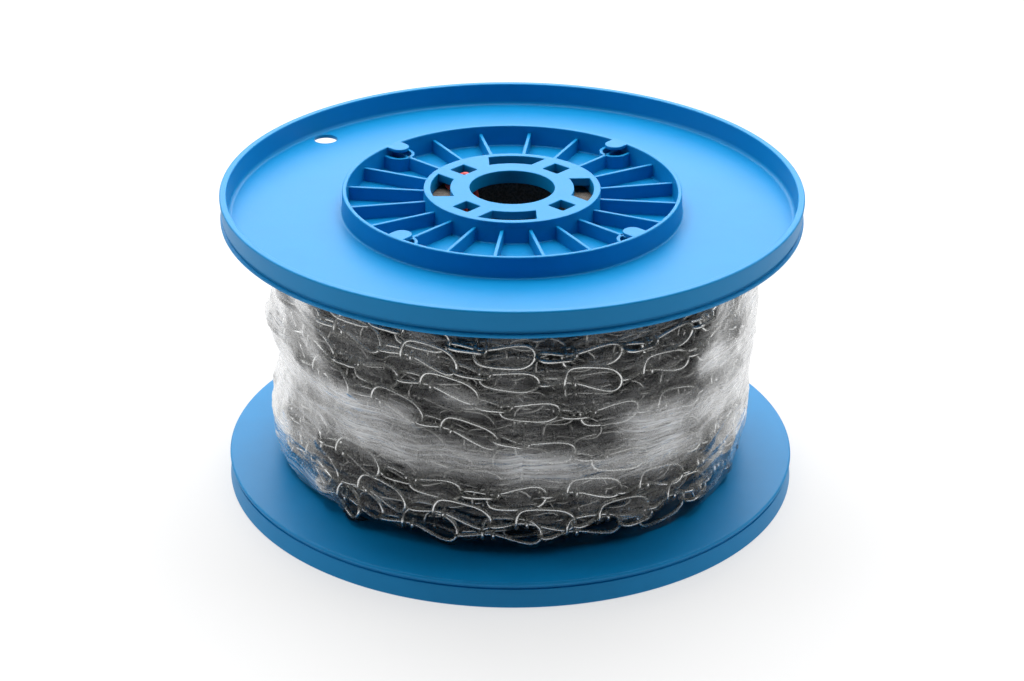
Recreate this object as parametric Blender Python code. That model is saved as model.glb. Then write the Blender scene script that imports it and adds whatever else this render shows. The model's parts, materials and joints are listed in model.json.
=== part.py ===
"""A plastic reel wound with knotted steel chain and wrapped in clear film.

The reel stands on one flange, with its axis along +Z and its foot at z = 0. Metres throughout.
Both flanges are one and the same moulding. It is drawn as the lower flange: its rim edge lies on
the floor at z = 0, and its plain inner face, towards the chain, is on top.
"""
import math

import bmesh
import bpy
from mathutils import Matrix, Vector

MM = 0.001
GAP = 0.3 * MM                  # clearance between pieces that touch

REEL_RADIUS = 103.0 * MM        # at the open edge of a flange's rim
REEL_HEIGHT = 110.7 * MM
ROUND_STEPS = 60                # sides of the flanges
FINE_EDGE = 0.3 * MM

FLANGE_HEIGHT = 9.8 * MM        # rim edge to inner face
DISH_DEPTH = 8.3 * MM           # rim edge to the disc's outer side
RIM_INNER_RADIUS = 100.5 * MM
RIM_FILLET = 1.5 * MM
WAIST_RADIUS = 102.15 * MM      # shallow waist between the rim wall and the disc's lip
WAIST_DEPTH = 6.85 * MM
LIP_DEPTH = 8.35 * MM
LIP_INSET = 0.1 * MM            # the lip at the disc's edge is this much smaller than the rim

RING_RADIUS = 59.9 * MM         # raised ring in the dish
RING_WALL = 1.5 * MM
RING_DROP = 0.5 * MM            # below the rim edge's plane
DRAFT = 0.25 * MM               # how much a tall wall widens towards its foot

HUB_RADIUS = 31.25 * MM
HUB_DROP = 0.4 * MM
HUB_PLATE = 3.0 * MM
HUB_CUP_RADIUS = 29.5 * MM      # seat of the core tube
LEDGE_RADIUS = 28.8 * MM        # above the seat the cup is a little narrower
LEDGE_DROP = 5.8 * MM           # the core tube's end stops here
BORE_RADIUS = 15.0 * MM
COLLAR_RADIUS = 16.5 * MM
COLLAR_DEPTH = 5.0 * MM

SLOT_COUNT = 4
SLOT_INNER_RADIUS = 21.9 * MM
SLOT_OUTER_RADIUS = 28.8 * MM
SLOT_STRAIGHT_OFFSET = 7.2 * MM     # the slot's straight end lies this far from its axis
SLOT_SLANT_DISTANCE = 8.98 * MM     # the slanted end's line passes the centre at this distance
SQUARE_HOLE = 6.8 * MM
SQUARE_HOLE_RADIUS = 23.4 * MM
STRING_HOLE_RADIUS = 4.25 * MM      # the hole near the rim that takes the chain's end
STRING_HOLE_AT = 94.5 * MM
STRING_HOLE_ANGLE = math.radians(225)

RIB_COUNT = 20
RIB_THICKNESS = 1.3 * MM
RIB_DROP = 3.3 * MM
FIRST_RIB_ANGLE = math.radians(45)
TOWER_AT = 55.6 * MM            # centre of each latch tower, on every fifth rib
TOWER_RADIUS = 5.5 * MM
TOWER_WALL = 1.25 * MM
TAB_HALF_WIDTH = 3.5 * MM
TAB_THICKNESS = 1.2 * MM
EMBED = 0.6 * MM                # how far a fused shape reaches into its neighbour
CUT_REACH = 4.0 * MM            # how far the string hole's cutter stands out of the disc

TUBE_RADIUS = HUB_CUP_RADIUS - GAP
TUBE_BORE_RADIUS = 21.5 * MM
TUBE_STEPS = 48

ROW_COUNT = 10                  # rows of chain across the reel
ROW_RADII = [80.0, 83.8, 84.6, 84.0, 83.6, 84.2, 84.8, 84.8, 84.4, 83.4]    # mm, bottom row first
ROW_GROOVE = 2.4 * MM           # depth of the gap between two rows
ROW_CREST = (0.28, 0.72)        # where a row's flat crest starts and ends, as shares of the row
LAYER_COUNT = 6                 # turns that show on each end of the winding
LAYER_GROOVE = 1.6 * MM
LAYER_CREST = (0.3, 0.7)        # where a turn's flat crest starts and ends, as shares of the layer
WINDING_STEPS = 36
CHAIN_BORE_RADIUS = TUBE_RADIUS + GAP

FILM_THICKNESS = 0.7 * MM
TIE_RADIUS = 1.05 * MM


def material(name, colour, roughness, metallic=0.0, alpha=1.0):
    """A Principled material in the piece's own colour."""
    mat = bpy.data.materials.new(name)
    mat.use_nodes = True
    shader = mat.node_tree.nodes["Principled BSDF"]
    shader.inputs["Base Color"].default_value = (*colour, 1.0)
    shader.inputs["Roughness"].default_value = roughness
    shader.inputs["Metallic"].default_value = metallic
    shader.inputs["Alpha"].default_value = alpha
    return mat


def add_object(name, bm, mat=None):
    """Turn a bmesh into an object of the scene, with round faces shaded smooth."""
    mesh = bpy.data.meshes.new(name)
    bm.to_mesh(mesh)
    bm.free()
    mesh.shade_smooth()
    mesh.set_sharp_from_angle(angle=math.radians(30))
    obj = bpy.data.objects.new(name, mesh)
    bpy.context.scene.collection.objects.link(obj)
    if mat:
        mesh.materials.append(mat)
    return obj


def turned(bm, profile, steps):
    """Spin a closed outline of (radius, height) points once around Z."""
    loop = [bm.verts.new((radius, 0.0, height)) for radius, height in profile]
    edges = [bm.edges.new(pair) for pair in zip(loop, loop[1:] + loop[:1])]
    bmesh.ops.spin(bm, geom=loop + edges, cent=(0, 0, 0), axis=(0, 0, 1),
                   angle=math.tau, steps=steps, use_merge=True, use_duplicate=False)
    bmesh.ops.recalc_face_normals(bm, faces=bm.faces)


def prism(bm, outline, low, high):
    """Raise a flat outline of (x, y) points into a solid between two heights."""
    base = bm.faces.new([bm.verts.new((x, y, low)) for x, y in outline])
    raised = bmesh.ops.extrude_face_region(bm, geom=[base])
    corners = [item for item in raised["geom"] if isinstance(item, bmesh.types.BMVert)]
    bmesh.ops.translate(bm, vec=(0, 0, high - low), verts=corners)
    bmesh.ops.recalc_face_normals(bm, faces=bm.faces)


def arc(centre, radius, start, end, steps):
    """Points along a circle's arc, both ends included."""
    angles = [start + (end - start) * step / steps for step in range(steps + 1)]
    return [(centre[0] + radius * math.cos(a), centre[1] + radius * math.sin(a)) for a in angles]


def rotated(outline, angle):
    """The outline turned around the reel's axis."""
    turn = Matrix.Rotation(angle, 2)
    return [tuple(turn @ Vector(point)) for point in outline]


def helper(name, bm):
    """A shape that a Boolean uses and that is no piece of the reel."""
    obj = add_object(name, bm)
    obj.hide_render = True
    obj.display_type = "WIRE"
    return obj


def flange_profile():
    """The moulding's section, from the rim edge around the inner face, cup, plate and dish."""
    rim_foot = RIM_INNER_RADIUS - 2 * DRAFT
    fillet = arc((rim_foot - RIM_FILLET, DISH_DEPTH - RIM_FILLET), RIM_FILLET, math.pi / 2, 0.0, 2)
    return [
        (RIM_INNER_RADIUS, 0.0),
        (REEL_RADIUS - FINE_EDGE, 0.0),
        (REEL_RADIUS, FINE_EDGE),
        (WAIST_RADIUS + LIP_INSET, WAIST_DEPTH),
        (WAIST_RADIUS, LIP_DEPTH),
        (REEL_RADIUS - LIP_INSET, FLANGE_HEIGHT - FINE_EDGE),
        (REEL_RADIUS - LIP_INSET - FINE_EDGE, FLANGE_HEIGHT),
        (HUB_CUP_RADIUS, FLANGE_HEIGHT),
        (HUB_CUP_RADIUS, LEDGE_DROP),
        (LEDGE_RADIUS, LEDGE_DROP),
        (LEDGE_RADIUS, HUB_DROP + HUB_PLATE),
        (COLLAR_RADIUS, HUB_DROP + HUB_PLATE),
        (COLLAR_RADIUS, HUB_DROP + COLLAR_DEPTH),
        (BORE_RADIUS, HUB_DROP + COLLAR_DEPTH),
        (BORE_RADIUS, HUB_DROP),
        (HUB_RADIUS - FINE_EDGE, HUB_DROP),
        (HUB_RADIUS, HUB_DROP + FINE_EDGE),
        (HUB_RADIUS + DRAFT, DISH_DEPTH),
        (RING_RADIUS - RING_WALL - DRAFT, DISH_DEPTH),
        (RING_RADIUS - RING_WALL, RING_DROP),
        (RING_RADIUS, RING_DROP),
        (RING_RADIUS + DRAFT, DISH_DEPTH),
        *fillet,
    ]


def slot_outline():
    """The arc slot on +X: one end straight, the other slanted by 45 degrees."""
    def straight_end(radius):
        return -math.asin(SLOT_STRAIGHT_OFFSET / radius)

    def slanted_end(radius):
        return math.acos(SLOT_SLANT_DISTANCE / radius) - math.radians(45)

    near = SLOT_INNER_RADIUS
    far = SLOT_OUTER_RADIUS
    return arc((0, 0), near, straight_end(near), slanted_end(near), 4) \
        + arc((0, 0), far, slanted_end(far), straight_end(far), 4)


def flange_cuts():
    """Slots and square holes of the drive pattern, and the string hole near the rim."""
    bm = bmesh.new()
    half = SQUARE_HOLE / 2
    near = SQUARE_HOLE_RADIUS - half
    far = SQUARE_HOLE_RADIUS + half
    square = [(near, -half), (far, -half), (far, half), (near, half)]
    for index in range(SLOT_COUNT):
        quarter = math.tau * index / SLOT_COUNT
        prism(bm, rotated(slot_outline(), quarter), -EMBED, HUB_DROP + HUB_PLATE + EMBED)
        prism(bm, rotated(square, quarter + math.radians(45)), -EMBED, HUB_DROP + HUB_PLATE + EMBED)
    centre = rotated([(STRING_HOLE_AT, 0.0)], STRING_HOLE_ANGLE)[0]
    round_hole = arc(centre, STRING_HOLE_RADIUS, 0.0, math.tau, 16)[:-1]
    prism(bm, round_hole, DISH_DEPTH - CUT_REACH, FLANGE_HEIGHT + EMBED)
    return helper("flange_cuts", bm)


def flange_ribs():
    """Radial ribs between hub and ring."""
    bm = bmesh.new()
    half = RIB_THICKNESS / 2
    inner = HUB_RADIUS - EMBED
    outer = RING_RADIUS - RING_WALL + EMBED
    rib = [(inner, -half), (outer, -half), (outer, half), (inner, half)]
    for index in range(RIB_COUNT):
        angle = FIRST_RIB_ANGLE + math.tau * index / RIB_COUNT
        prism(bm, rotated(rib, angle), RIB_DROP, DISH_DEPTH + EMBED)
    return helper("flange_ribs", bm)


def latch_towers():
    """Half-round towers against the ring's inner wall, open towards the ring."""
    bm = bmesh.new()
    reach = RING_RADIUS - RING_WALL + EMBED - TOWER_AT
    inner_radius = TOWER_RADIUS - TOWER_WALL
    back = math.radians(90)
    front = math.radians(270)
    outline = [(TOWER_AT + reach, TOWER_RADIUS)]
    outline += arc((TOWER_AT, 0), TOWER_RADIUS, back, front, 8)
    outline += [(TOWER_AT + reach, -TOWER_RADIUS), (TOWER_AT + reach, -inner_radius)]
    outline += arc((TOWER_AT, 0), inner_radius, front, back, 8)
    outline += [(TOWER_AT + reach, inner_radius)]
    for index in range(SLOT_COUNT):
        angle = FIRST_RIB_ANGLE + math.tau * index / SLOT_COUNT
        prism(bm, rotated(outline, angle), RIB_DROP, DISH_DEPTH + EMBED)
    return helper("latch_towers", bm)


def latch_tabs():
    """Flat round-ended tabs, level with the ring's edge, one over each tower."""
    bm = bmesh.new()
    root = RING_RADIUS - RING_WALL + EMBED
    outline = [(root, TAB_HALF_WIDTH)]
    outline += arc((TOWER_AT, 0), TAB_HALF_WIDTH, math.radians(90), math.radians(270), 8)
    outline += [(root, -TAB_HALF_WIDTH)]
    for index in range(SLOT_COUNT):
        angle = FIRST_RIB_ANGLE + math.tau * index / SLOT_COUNT
        prism(bm, rotated(outline, angle), RING_DROP, RING_DROP + TAB_THICKNESS)
    return helper("latch_tabs", bm)


def flange_mesh(mat):
    """The whole moulding: the turned body with its cuts, ribs, towers and tabs."""
    bm = bmesh.new()
    turned(bm, flange_profile(), ROUND_STEPS)
    blank = helper("flange_blank", bm)
    blank.data.materials.append(mat)
    for tool, operation in ((flange_cuts(), "DIFFERENCE"), (flange_ribs(), "UNION"),
                            (latch_towers(), "UNION"), (latch_tabs(), "UNION")):
        boolean = blank.modifiers.new(tool.name, "BOOLEAN")
        boolean.object = tool
        boolean.operation = operation
        boolean.solver = "EXACT"
        tool.data.materials.append(mat)
    shaped = blank.evaluated_get(bpy.context.evaluated_depsgraph_get())
    return bpy.data.meshes.new_from_object(shaped)


def build_flanges():
    """Two like mouldings: one stands on its rim, the other is turned over on top."""
    blue = material("reel_plastic", (0.010, 0.160, 0.560), 0.35)
    moulding = flange_mesh(blue)
    moulding.name = "flange_moulding"
    half_turn = math.pi
    for name, rotation, height in (("lower_flange", (0.0, 0.0, half_turn), 0.0),
                                   ("upper_flange", (half_turn, 0.0, 0.0), REEL_HEIGHT)):
        flange = bpy.data.objects.new(name, moulding)
        bpy.context.scene.collection.objects.link(flange)
        flange.rotation_euler = rotation
        flange.location = (0.0, 0.0, height)


def build_core_tube():
    """Thick cardboard tube, from the ledge in the lower hub to the one in the upper hub."""
    low = LEDGE_DROP + GAP
    high = REEL_HEIGHT - LEDGE_DROP - GAP
    bm = bmesh.new()
    bottom = [(TUBE_BORE_RADIUS, low), (TUBE_RADIUS, low)]
    top = [(TUBE_RADIUS, high), (TUBE_BORE_RADIUS, high)]
    turned(bm, bottom + top, TUBE_STEPS)
    add_object("core_tube", bm, material("cardboard", (0.160, 0.140, 0.120), 0.85))


def row_heights():
    """Where the winding's rows begin and end, from the lower flange to the upper one."""
    low = FLANGE_HEIGHT + GAP
    high = REEL_HEIGHT - FLANGE_HEIGHT - GAP
    return [low + (high - low) * row / ROW_COUNT for row in range(ROW_COUNT + 1)]


def end_turns(height, inwards, end_radius):
    """Grooves and crests of the layers on one end of the winding, from the bore outwards."""
    points = []
    width = (end_radius - CHAIN_BORE_RADIUS) / LAYER_COUNT
    for layer in range(LAYER_COUNT):
        start = CHAIN_BORE_RADIUS + width * layer
        points.append((start, height + inwards * LAYER_GROOVE))
        points += [(start + share * width, height) for share in LAYER_CREST]
    return points


def winding_profile():
    """The winding's section: rows of chain outside, turns of each layer on both ends."""
    heights = row_heights()
    foot = (ROW_RADII[0] * MM - ROW_GROOVE, heights[0] + LAYER_GROOVE)
    head = (ROW_RADII[-1] * MM - ROW_GROOVE, heights[-1] - LAYER_GROOVE)
    rows = []
    for radius, low, high in zip(ROW_RADII, heights, heights[1:]):
        rows.append((radius * MM - ROW_GROOVE, low))
        rows += [(radius * MM, low + share * (high - low)) for share in ROW_CREST]
    bottom = end_turns(heights[0], 1, foot[0])
    top = end_turns(heights[-1], -1, head[0])
    return bottom + [foot] + rows[1:] + [head] + top[::-1]


def build_chain():
    """The wound chain as one turned solid."""
    bm = bmesh.new()
    turned(bm, winding_profile(), WINDING_STEPS)
    steel = material("zinc_plated_steel", (0.560, 0.560, 0.550), 0.30, metallic=1.0)
    add_object("chain_winding", bm, steel)


def build_film():
    """Clear film around the winding, a sleeve that follows its rows."""
    heights = row_heights()
    clear = GAP / math.cos(math.pi / WINDING_STEPS)
    inside = [(ROW_RADII[0] * MM + clear, heights[0])]
    for row in range(ROW_COUNT):
        reach = max(ROW_RADII[max(row - 1, 0):row + 2])
        inside.append((reach * MM + clear, (heights[row] + heights[row + 1]) / 2))
    inside.append((ROW_RADII[-1] * MM + clear, heights[-1]))
    outside = [(radius + FILM_THICKNESS, height) for radius, height in inside]
    bm = bmesh.new()
    turned(bm, inside + outside[::-1], WINDING_STEPS)
    add_object("film_wrap", bm, material("clear_film", (0.900, 0.930, 0.950), 0.12, alpha=0.25))


def tie_route():
    """The tie's way through the upper hub, as (x, y, depth below the reel's top) in mm.

    It comes up inside the core tube, bends up in a square hole, crosses the tube's end below the
    hub plate, rises again in the slot beside it, and goes down into the tube.
    """
    return [
        (-12.0, 12.0, 15.0), (-12.2, 12.4, 10.0), (-12.9, 13.5, 6.6), (-14.3, 15.4, 4.0),
        (-15.3, 17.1, 2.9), (-16.9, 17.8, 3.2), (-18.5, 17.5, 4.3), (-20.6, 16.6, 4.75),
        (-22.2, 15.1, 4.75), (-22.6, 13.2, 4.75), (-21.7, 11.3, 4.75), (-20.2, 9.7, 4.75),
        (-18.6, 8.4, 5.0), (-17.3, 7.5, 6.4), (-16.7, 6.9, 8.8), (-16.5, 6.6, 15.0),
    ]


def smooth_through(points, steps):
    """Points on a smooth curve through the given ones."""
    padded = [points[0], *points, points[-1]]
    curve = []
    for before, start, end, after in zip(padded, padded[1:], padded[2:], padded[3:]):
        for step in range(steps):
            t = step / steps
            curve.append(0.5 * ((2 * start) + (end - before) * t
                                + (2 * before - 5 * start + 4 * end - after) * t ** 2
                                + (3 * start - before - 3 * end + after) * t ** 3))
    curve.append(points[-1])
    return curve


def build_tie():
    """Red sheathed tie, a round cord along its route."""
    stations = [Vector((x * MM, y * MM, REEL_HEIGHT - depth * MM)) for x, y, depth in tie_route()]
    centres = smooth_through(stations, 2)
    data = bpy.data.curves.new("red_tie", "CURVE")
    data.dimensions = "3D"
    data.bevel_depth = TIE_RADIUS
    data.bevel_resolution = 2
    data.use_fill_caps = True
    spline = data.splines.new("POLY")
    spline.points.add(len(centres) - 1)
    for point, centre in zip(spline.points, centres):
        point.co = (*centre, 1.0)
    data.materials.append(material("red_sheath", (0.700, 0.060, 0.050), 0.45))
    tie = bpy.data.objects.new("red_tie", data)
    bpy.context.scene.collection.objects.link(tie)


def main():
    for obj in list(bpy.data.objects):
        bpy.data.objects.remove(obj, do_unlink=True)
    build_flanges()
    build_core_tube()
    build_chain()
    build_film()
    build_tie()


main()
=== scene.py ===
# %% [markdown]
# # A reel of knotted steel chain
#
# A blue moulded reel stands on one of its two flanges. Bright knotted chain is wound on it, and
# clear film holds the winding together. The frame brings the plain solids in metres, with the
# reel's axis on Z and its foot at z = 0. Every visible piece below is made to the same sizes.

# %% Load the frame
import json
import math

import bmesh
import bpy
import numpy as np
from mathutils import Matrix, Vector, noise

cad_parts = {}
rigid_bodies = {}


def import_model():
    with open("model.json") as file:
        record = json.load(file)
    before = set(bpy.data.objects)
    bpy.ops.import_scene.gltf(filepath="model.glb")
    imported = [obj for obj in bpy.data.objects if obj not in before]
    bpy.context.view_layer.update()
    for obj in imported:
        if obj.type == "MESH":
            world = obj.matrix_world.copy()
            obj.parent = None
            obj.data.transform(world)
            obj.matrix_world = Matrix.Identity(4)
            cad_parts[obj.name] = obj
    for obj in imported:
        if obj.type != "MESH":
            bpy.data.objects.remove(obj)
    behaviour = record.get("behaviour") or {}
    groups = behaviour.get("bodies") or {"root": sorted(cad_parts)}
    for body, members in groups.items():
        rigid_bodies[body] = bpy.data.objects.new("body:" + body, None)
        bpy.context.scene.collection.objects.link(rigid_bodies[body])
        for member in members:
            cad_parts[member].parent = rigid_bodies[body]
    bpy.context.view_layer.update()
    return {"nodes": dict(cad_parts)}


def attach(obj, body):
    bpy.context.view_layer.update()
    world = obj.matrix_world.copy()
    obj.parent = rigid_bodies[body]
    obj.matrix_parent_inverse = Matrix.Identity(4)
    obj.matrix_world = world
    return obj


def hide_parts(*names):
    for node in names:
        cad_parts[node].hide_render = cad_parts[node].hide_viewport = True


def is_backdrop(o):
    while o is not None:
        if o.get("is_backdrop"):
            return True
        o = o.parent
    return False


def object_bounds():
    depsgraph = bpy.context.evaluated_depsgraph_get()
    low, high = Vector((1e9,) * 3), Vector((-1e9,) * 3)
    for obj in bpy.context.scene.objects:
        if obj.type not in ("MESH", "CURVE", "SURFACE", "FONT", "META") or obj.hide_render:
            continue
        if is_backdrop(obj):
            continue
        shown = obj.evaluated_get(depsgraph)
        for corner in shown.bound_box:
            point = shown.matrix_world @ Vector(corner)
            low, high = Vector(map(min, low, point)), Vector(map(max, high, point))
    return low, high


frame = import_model()
MM = 0.001
print("solids:", sorted(frame["nodes"]))

# %% [markdown]
# ## Camera and light
#
# The picture was taken with a long lens, about a metre away and 26 degrees above the floor. The
# numbers come from fitting the reel's circles: each circle of known size must fall on its ellipse.
# The reel stands on a white light table, whose glow keeps its shadow pale. Large white boxes light it
# from above and behind, while the room in front is dark. So walls that face the camera stay deep in
# colour, bright wire and clear film mirror the table as thin bright lines, and flat plastic gets a
# wide soft glow.

# %% Camera
REEL_HEIGHT = 110.7 * MM
IMAGE_WIDTH = 1024
FOCAL_PIXELS = 2757.8
CAMERA_DISTANCE = 0.9993
CAMERA_ELEVATION = math.radians(26.196)
CAMERA_AZIMUTH = math.radians(-2.8)
CAMERA_ROLL = math.radians(0.393)
AXIS_SHIFT_PIXELS = 0.87

camera_data = bpy.data.cameras.new("camera")
camera_data.sensor_width = 36.0
camera_data.lens = FOCAL_PIXELS * camera_data.sensor_width / IMAGE_WIDTH
camera_data.shift_x = AXIS_SHIFT_PIXELS / IMAGE_WIDTH
camera_data.clip_start = 0.05
camera = bpy.data.objects.new("camera", camera_data)
bpy.context.scene.collection.objects.link(camera)
bpy.context.scene.camera = camera
aim = Vector((0.0, 0.0, 49.94 * MM))
towards_camera = Vector((math.sin(CAMERA_AZIMUTH) * math.cos(CAMERA_ELEVATION),
                         -math.cos(CAMERA_AZIMUTH) * math.cos(CAMERA_ELEVATION),
                         math.sin(CAMERA_ELEVATION)))
camera.rotation_mode = "QUATERNION"
camera.location = aim + towards_camera * CAMERA_DISTANCE
look = (-towards_camera).to_track_quat("-Z", "Y")
camera.rotation_quaternion = look @ Matrix.Rotation(CAMERA_ROLL, 3, "Z").to_quaternion()
print("lens %.1f mm, camera at %s" % (camera_data.lens, [round(v, 3) for v in camera.location]))

# %% Nodes and colours
def put(tree, kind, inputs=None, **settings):
    """Add one node. An input is keyed by name or number, and takes a value or another's output."""
    added = tree.nodes.new(kind)
    for name, value in settings.items():
        setattr(added, name, value)
    for key, value in (inputs or {}).items():
        if isinstance(value, bpy.types.NodeSocket):
            tree.links.new(value, added.inputs[key])
        else:
            added.inputs[key].default_value = value
    return added


def linear(hex_colour):
    """An sRGB colour such as #1E88D2, as Blender's linear RGBA."""
    channels = [int(hex_colour[i:i + 2], 16) / 255 for i in (1, 3, 5)]
    curve = [c / 12.92 if c <= 0.04045 else ((c + 0.055) / 1.055) ** 2.4 for c in channels]
    return (*curve, 1.0)


def new_material(name):
    """An empty node material, with its output node."""
    made = bpy.data.materials.new(name)
    made.use_nodes = True
    made.node_tree.nodes.clear()
    return made, made.node_tree, put(made.node_tree, "ShaderNodeOutputMaterial")


# %% Studio
studio, tree, output = new_material("white_light_table")
paper = put(tree, "ShaderNodeBsdfPrincipled", {
    "Base Color": linear("#909090"), "Roughness": 0.9, "Specular IOR Level": 0.1,
    "Emission Color": linear("#FFFFFF"), "Emission Strength": 0.62})
tree.links.new(paper.outputs[0], output.inputs["Surface"])

FLOOR_SIZE = 8.0
floor_mesh = bpy.data.meshes.new("floor")
half = FLOOR_SIZE / 2
floor_mesh.from_pydata([(-half, -half, 0), (half, -half, 0), (half, half, 0), (-half, half, 0)],
                       [], [(0, 1, 2, 3)])
floor_mesh.materials.append(studio)
floor = bpy.data.objects.new("floor", floor_mesh)
bpy.context.scene.collection.objects.link(floor)
floor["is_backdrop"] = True


def softbox(name, place, size, power, aim_at=(0.0, 0.0, 0.05)):
    """A flat rectangular lamp that faces the reel."""
    light = bpy.data.lights.new(name, "AREA")
    light.shape = "RECTANGLE"
    light.size, light.size_y = size
    light.energy = power
    lamp = bpy.data.objects.new(name, light)
    bpy.context.scene.collection.objects.link(lamp)
    lamp.location = place
    lamp.rotation_mode = "QUATERNION"
    lamp.rotation_quaternion = (Vector(aim_at) - Vector(place)).to_track_quat("-Z", "Y")
    return lamp


softbox("box_above", (0.0, 0.3, 1.35), (1.7, 1.2), 31.0)
softbox("box_behind", (0.0, 1.6, 1.0), (2.4, 1.2), 37.0)
softbox("box_left", (-1.3, 0.1, 0.6), (0.5, 0.9), 4.5)
softbox("box_right", (1.3, 0.1, 0.6), (0.5, 0.9), 4.5)
world = bpy.data.worlds.new("dark_room")
world.use_nodes = True
world.node_tree.nodes["Background"].inputs["Color"].default_value = linear("#F4F6F8")
world.node_tree.nodes["Background"].inputs["Strength"].default_value = 0.055
bpy.context.scene.world = world
bpy.context.scene.view_settings.view_transform = "Standard"

# %% [markdown]
# ## The blue plastic
#
# The flanges are injection moulded in one colour all through, probably polypropylene. Its skin is
# satin: it mirrors a lamp as a wide soft glow. A very faint waviness keeps such a glow from
# looking computed. The real skin's grain is finer than a tenth of a millimetre, so it's drawn
# coarser here.

# %% Moulded polypropylene
GRAIN = 0.5 * MM
WAVINESS = 9.0 * MM
reel_blue, tree, output = new_material("moulded_blue_polypropylene")
place = put(tree, "ShaderNodeTexCoord").outputs["Object"]
waves = put(tree, "ShaderNodeTexNoise", {"Vector": place, "Scale": 1 / WAVINESS, "Detail": 3.0})
grain = put(tree, "ShaderNodeTexNoise", {"Vector": place, "Scale": 1 / GRAIN, "Detail": 2.0})
shade = put(tree, "ShaderNodeMix", {0: waves.outputs[0], 6: linear("#007FBA"), 7: linear("#0085C2")},
            data_type="RGBA")
gloss = put(tree, "ShaderNodeMapRange", {"Value": grain.outputs[0], "To Min": 0.38, "To Max": 0.5})
relief = put(tree, "ShaderNodeBump", {"Height": grain.outputs[0], "Strength": 0.04,
                                      "Distance": 0.1 * MM})
skin = put(tree, "ShaderNodeBsdfPrincipled", {
    "Base Color": shade.outputs[2], "Roughness": gloss.outputs[0], "IOR": 1.49,
    "Specular IOR Level": 0.2, "Normal": relief.outputs[0]})
tree.links.new(skin.outputs[0], output.inputs["Surface"])

# %% [markdown]
# ## One moulding, used twice
#
# Both flanges come out of one mould. The body is round, so its section is drawn once and spun.
# Real moulded edges are never sharp: each one is rounded, and the rounding is what catches the
# light. So the section's corners get small arcs before it's spun. Plates, ribs and towers have
# straight walls, so a filled curve with a bevel makes them and rounds their edges at once.

# %% Helpers for round and flat-sided forms
def rounded(corners, arc_steps=5):
    """A closed outline whose corners (x, y, radius) are replaced by arcs."""
    outline = []
    count = len(corners)
    for index, (x, y, radius) in enumerate(corners):
        corner = Vector((x, y))
        if radius == 0:
            outline.append(corner)
            continue
        before = (Vector(corners[index - 1][:2]) - corner).normalized()
        after = (Vector(corners[(index + 1) % count][:2]) - corner).normalized()
        half_angle = before.angle(after) / 2
        setback = radius / math.tan(half_angle)
        centre = corner + (before + after).normalized() * (radius / math.sin(half_angle))
        start = corner + before * setback - centre
        end = corner + after * setback - centre
        turn = start.angle_signed(end)
        for step in range(arc_steps + 1):
            outline.append(centre + Matrix.Rotation(-turn * step / arc_steps, 2) @ start)
    return outline


def link_mesh(name, mesh):
    """Put a mesh into the scene as an object at the origin."""
    obj = bpy.data.objects.new(name, mesh)
    bpy.context.scene.collection.objects.link(obj)
    return obj


def spun(name, outline, steps):
    """A closed outline of (radius, height) spun once around Z."""
    bm = bmesh.new()
    loop = [bm.verts.new((radius, 0.0, height)) for radius, height in outline]
    edges = [bm.edges.new(pair) for pair in zip(loop, loop[1:] + loop[:1])]
    bmesh.ops.spin(bm, geom=loop + edges, cent=(0, 0, 0), axis=(0, 0, 1), angle=math.tau,
                   steps=steps, use_merge=True, use_duplicate=False)
    bmesh.ops.recalc_face_normals(bm, faces=bm.faces)
    mesh = bpy.data.meshes.new(name)
    bm.to_mesh(mesh)
    bm.free()
    return link_mesh(name, mesh)


def baked(obj, name=None):
    """Turn an object and its modifiers into a plain mesh object, and drop the first one."""
    shaped = obj.evaluated_get(bpy.context.evaluated_depsgraph_get())
    mesh = bpy.data.meshes.new_from_object(shaped)
    new_name = name or obj.name
    bpy.data.objects.remove(obj, do_unlink=True)
    mesh.name = new_name
    return link_mesh(new_name, mesh)


def moulded(name, outlines, low, high, edge):
    """A plate with holes, from closed outlines in plan, with its edges rounded by a bevel."""
    curve = bpy.data.curves.new(name, "CURVE")
    curve.dimensions = "2D"
    curve.fill_mode = "BOTH"
    curve.extrude = (high - low) / 2 - edge
    curve.bevel_depth = edge
    curve.bevel_resolution = 2
    curve.offset = -edge
    for outline in outlines:
        spline = curve.splines.new("POLY")
        spline.points.add(len(outline) - 1)
        for point, (x, y) in zip(spline.points, outline):
            point.co = (x, y, 0.0, 1.0)
        spline.use_cyclic_u = True
    obj = bpy.data.objects.new(name, curve)
    bpy.context.scene.collection.objects.link(obj)
    obj = baked(obj)
    obj.data.transform(Matrix.Translation((0, 0, (low + high) / 2)))
    return obj


def circle_arc(radius, start, end, steps, centre=(0.0, 0.0)):
    """Points along an arc around a centre."""
    angles = [start + (end - start) * step / steps for step in range(steps + 1)]
    return [(centre[0] + radius * math.cos(a), centre[1] + radius * math.sin(a)) for a in angles]


def turned_by(outline, angle):
    """An outline turned around the reel's axis."""
    cosine, sine = math.cos(angle), math.sin(angle)
    return [(x * cosine - y * sine, x * sine + y * cosine) for x, y in outline]


# %% Flange body
ROUND_STEPS = 240
body_corners = [
    (100.5, 0.0, 0.5), (103.0, 0.0, 0.6), (102.3, 6.95, 0.25), (101.75, 7.15, 0.15),
    (101.75, 8.25, 0.15), (102.85, 8.5, 0.4), (102.85, 9.8, 0.75),
    (29.5, 9.8, 0.4), (29.5, 5.8, 0.0), (28.8, 5.8, 0.2), (28.8, 1.2, 0.0), (31.2, 1.2, 0.0),
    (31.5, 8.3, 0.5), (58.15, 8.3, 0.6),
    (58.4, 0.5, 0.45), (59.9, 0.5, 0.45), (60.15, 8.3, 0.7), (100.0, 8.3, 1.6),
]
body = spun("flange_body", [point * MM for point in rounded(body_corners)], ROUND_STEPS)

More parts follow.
